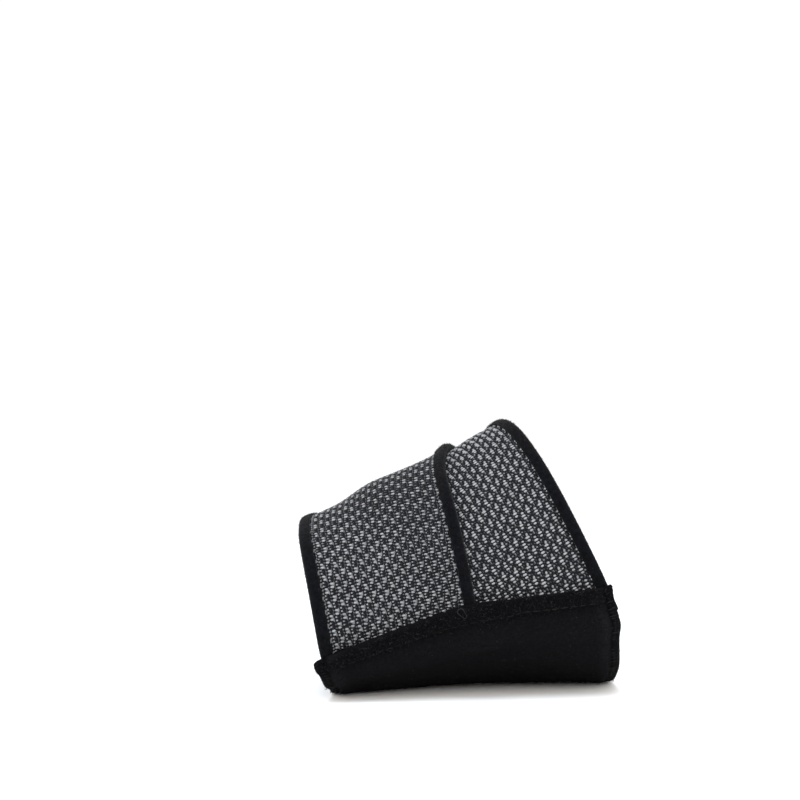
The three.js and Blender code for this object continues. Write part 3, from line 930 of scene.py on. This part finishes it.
def overlock(heel, chance):
    """The rows of the heel or the toe edge: stitches over the roll, on both faces, and a bead on the rim."""
    share = np.arange(OVERLOCK_STEP, PANEL_RUN, OVERLOCK_STEP) / PANEL_RUN
    share = share + chance.normal(0, OVERLOCK_WANDER, len(share)) / PANEL_RUN
    lean = share + OVERLOCK_LEAN * OVERLOCK_STEP / PANEL_RUN
    reach = (ROLL_WIDTH + np.abs(chance.normal(0, OVERLOCK_SPREAD, len(share)))) / PANEL_WIDE
    inset = np.full_like(share, OVERLOCK_INSET / PANEL_WIDE)
    start, rim = (1 - reach, 1 - inset) if heel else (reach, inset)
    rows = [sew_row((start, share), (rim, lean), OVERLOCK_THICK, OVERLOCK_SHADE, chance, level)
            for level in (1.0, 0.0)]
    face_rim, inside_rim = (on_panel(rim, lean, level) for level in (1.0, 0.0))
    beyond = np.sign(face_rim[:, :1]) * [1, 0, 0]
    bead = stitches_between(face_rim, inside_rim, beyond, OVERLOCK_BEAD)
    bead_shades = OVERLOCK_SHADE * chance.normal(1, BEAD_SHADE_SPREAD, len(bead))
    return [*rows, (bead, np.clip(bead_shades, 0, 1))]


def sew_panel(seed):
    chance = np.random.default_rng(seed)
    rows = []
    for inner in (False, True):
        rows += sew_hem(inner, chance)
    for heel in (False, True):
        rows += overlock(heel, chance)
    places, shades = (np.concatenate(column) for column in zip(*rows))
    places[:, 2, 3] = np.maximum(places[:, 2, 3], OVERLOCK_BEAD * MM)
    return add_copies("sole_panel_seams", stitch_grain(SEAM_RINGS), places, shades, sewing_thread)


panel_seams = sew_panel(seed=31)

# Pile and lint: the short black fibres that the panel's face is brushed up into, longer on the hems, and the
# grey lint that it has caught, most of it on the hems and along the overlocked edges.
PILE_COUNT = 26000
HEM_PILE_COUNT = 9000
PILE_LONG = 0.55
HEM_PILE_LONG = 0.8
PILE_THICK = 0.035
PILE_LEAN = 0.75
PILE_SHADE = 0.06
HEM_PILE_SPREAD = 0.7  # from the hem's edge, as a share of the distance to its seam
OUTER_HEM_PILE = 0.35  # share of the hems' pile that is on the outer one
LINT_COUNT = 3400
LINT_LONG = 1.0
SPECK_LONG = 0.6  # of the lint on the face
LINT_THICK = 0.075
LINT_LEAN = 2.2
LINT_PROUD = 0.25
LINT_MARGIN = 0.01  # share of the width that is left clear at both sides
HEM_LINT_TO = 0.45  # up to this share of the lint is on the hems
FACE_LINT_TO = 0.88  # and up to this on the face, with the rest along the sides
OUTER_HEM_LINT = 0.3  # share of the hems' lint that is on the outer one
HEM_LINT_MIDDLE = 0.5  # from the hem's edge, as shares of the distance to its seam
HEM_LINT_SPREAD = 0.5
HEM_LINT_FARTHEST = 2.2
SIDE_LINT_SPREAD = 2.5
LINT_SHADE = 0.28
SPECK_SHADE = 0.45
LINT_SHADE_LEAST = 0.04
LINT_CLEAN_LEAST = 0.03
LINT_CLEAN_POWER = 3  # makes bright lint rare


def brush_panel(seed):
    chance = np.random.default_rng(seed)
    u = chance.uniform(0, 1, PILE_COUNT + HEM_PILE_COUNT)
    share = chance.uniform(0, 1, len(u))
    on_hem = np.arange(len(u)) >= PILE_COUNT
    band = np.abs(chance.normal(0, HEM_PILE_SPREAD, len(u))) * HEM_SEAM / PANEL_RUN
    share = np.where(on_hem, np.where(share < OUTER_HEM_PILE, band, 1 - band), share)
    roots = on_panel(u, share, 1.0, -PILE_THICK)
    long = np.where(on_hem, HEM_PILE_LONG, PILE_LONG)[:, None]
    shades = chance.uniform(0, PILE_SHADE, len(u))
    return add_fibres("sole_panel_pile", roots, panel_way(u, share), long, PILE_THICK, PILE_LEAN, shades,
                      chance)


def catch_lint(seed):
    chance = np.random.default_rng(seed)
    u = chance.uniform(LINT_MARGIN, 1 - LINT_MARGIN, LINT_COUNT)
    share = chance.uniform(0, 1, LINT_COUNT)
    kind = chance.uniform(size=LINT_COUNT)
    from_hem = np.abs(chance.normal(HEM_LINT_MIDDLE, HEM_LINT_SPREAD, LINT_COUNT))
    band = np.clip(from_hem, 0, HEM_LINT_FARTHEST) * HEM_SEAM / PANEL_RUN
    share = np.where(kind < HEM_LINT_TO, np.where(share < OUTER_HEM_LINT, band, 1 - band), share)
    from_side = np.abs(chance.normal(0, SIDE_LINT_SPREAD, LINT_COUNT)) / PANEL_WIDE
    u = np.where(kind > FACE_LINT_TO, np.where(u < 0.5, from_side, 1 - from_side), u)
    roots = on_panel(u, share, 1.0, LINT_PROUD)
    on_face = (kind >= HEM_LINT_TO) & (kind <= FACE_LINT_TO)
    long = np.where(on_face, SPECK_LONG, LINT_LONG)[:, None]
    brightness = chance.uniform(LINT_CLEAN_LEAST, 1, LINT_COUNT) ** LINT_CLEAN_POWER
    shades = brightness * np.where(on_face, SPECK_SHADE, LINT_SHADE) + LINT_SHADE_LEAST
    return add_fibres("sole_panel_lint", roots, panel_way(u, share), long, LINT_THICK, LINT_LEAN, shades,
                      chance)


panel_pile = brush_panel(seed=32)
panel_lint = catch_lint(seed=33)

# Loose thread: an end of the hem's thread that has come free and stands out of the inner hem as a small loop.
# It is given a lighter shade than the seams' thread as painted light, because it stands clear of the pile.
LOOP_U = 0.482  # share of the panel's width, from the toe edge
LOOP_DOWN = 1.1  # from the hem's edge to the loop's middle
LOOP_WIDE = 1.4
LOOP_LONG = 2.9
LOOP_THICK = 0.13
# painted light: a lighter shade of the same thread
LOOP_PAINTED_LIGHT = 0.4
LOOP_TILT = 24.0  # in degrees
LOOP_NARROW = 0.35  # share of its width that it gains at its upper end and loses at its lower end
LOOP_PROUD = 0.35
LOOP_STEPS = 24
LOOP_SIDES = 6


def loose_thread():
    bm = bmesh.new()
    upright = Matrix.Rotation(math.pi / 2, 4, "X")
    bmesh.ops.create_circle(bm, segments=LOOP_SIDES, radius=LOOP_THICK / 2, matrix=upright)
    bmesh.ops.translate(bm, vec=(LOOP_WIDE / 2, 0, 0), verts=bm.verts)
    bmesh.ops.spin(bm, geom=bm.edges[:], cent=(0, 0, 0), axis=(0, 0, 1), angle=2 * math.pi, steps=LOOP_STEPS,
                   use_merge=True)
    for end in (-1, 1):
        half = [v for v in bm.verts if v.co.y * end > LOOP_THICK]
        bmesh.ops.translate(bm, vec=(0, end * (LOOP_LONG - LOOP_WIDE) / 2, 0), verts=half)
    for v in bm.verts:
        v.co.x *= 1 + 2 * LOOP_NARROW * v.co.y / LOOP_LONG
    tilt = Matrix.Rotation(math.radians(LOOP_TILT), 3, "Z")
    bmesh.ops.rotate(bm, cent=(0, 0, 0), matrix=tilt, verts=bm.verts)
    bmesh.ops.recalc_face_normals(bm, faces=bm.faces)
    bmesh.ops.triangulate(bm, faces=bm.faces)
    u, share = np.array([LOOP_U]), np.array([1 - LOOP_DOWN / PANEL_RUN])
    point = on_panel(u, share, 1.0, LOOP_PROUD)
    outward = panel_way(u, share)
    along = unit(on_panel(u + PROBE, share, 1.0, LOOP_PROUD) - point)
    places = places_at(point, along, np.cross(outward, along), outward)
    return add_copies("sole_panel_loose_thread", bm, places, np.array([LOOP_PAINTED_LIGHT]), sewing_thread)


panel_thread = loose_thread()

# Floor, light and camera: a plain white floor under an even white sky, four large soft lamps, and a level
# camera that looks across the part from the inner side.
FLOOR_SIZE = 4.0
FLOOR_COLOUR = (0.96, 0.96, 0.96)
SKY_COLOUR = (0.992, 0.985, 0.985)
SKY_STRENGTH = 1.08

bm = bmesh.new()
bmesh.ops.create_grid(bm, x_segments=1, y_segments=1, size=FLOOR_SIZE)
floor_mesh = bpy.data.meshes.new("floor")
bm.to_mesh(floor_mesh)
bm.free()
floor_paint, shader = new_finish("floor_paint", roughness=0.9, specular=0.1)
shader.inputs["Base Color"].default_value = (*FLOOR_COLOUR, 1)
floor_mesh.materials.append(floor_paint)
floor = bpy.data.objects.new("floor", floor_mesh)
bpy.context.scene.collection.objects.link(floor)

sky = bpy.data.worlds.new("white_sky")
sky.use_nodes = True
sky.node_tree.nodes["Background"].inputs["Color"].default_value = (*SKY_COLOUR, 1)
sky.node_tree.nodes["Background"].inputs["Strength"].default_value = SKY_STRENGTH
bpy.context.scene.world = sky

LAMP_AIM = Vector((0.0, 0.0, 0.03))
LAMP_SIZE = 0.8
WARM_LIGHT = (1.02, 0.97, 0.89)
COOL_LIGHT = (0.86, 0.985, 1.14)
LAMPS = [
    # name, place, watts, colour
    ("front_lamp", (-0.10, -1.05, 0.50), 3.0, WARM_LIGHT),
    ("left_lamp", (-0.85, -0.85, 0.55), 4.5, WARM_LIGHT),
    ("right_lamp", (0.85, -0.85, 0.55), 5.0, WARM_LIGHT),
    ("top_lamp", (-0.15, -0.45, 1.05), 9.5, COOL_LIGHT),
]
for name, lamp_place, watts, colour in LAMPS:
    lamp_data = bpy.data.lights.new(name, "AREA")
    lamp_data.shape = "DISK"
    lamp_data.size = LAMP_SIZE
    lamp_data.energy = watts
    lamp_data.color = colour
    lamp = bpy.data.objects.new(name, lamp_data)
    lamp.location = lamp_place
    lamp.rotation_euler = (LAMP_AIM - lamp.location).to_track_quat("-Z", "Y").to_euler()
    bpy.context.scene.collection.objects.link(lamp)

CAMERA_PLACE = (-0.0155, -0.600, 0.0772)
CAMERA_LENS = 98.9
camera_data = bpy.data.cameras.new("camera")
camera_data.sensor_width = 36.0
camera_data.lens = CAMERA_LENS
camera_data.clip_start = 0.01
camera = bpy.data.objects.new("camera", camera_data)
camera.location = CAMERA_PLACE
camera.rotation_euler = (math.pi / 2, 0, 0)
bpy.context.scene.collection.objects.link(camera)
bpy.context.scene.camera = camera
bpy.context.scene.view_settings.view_transform = "Standard"
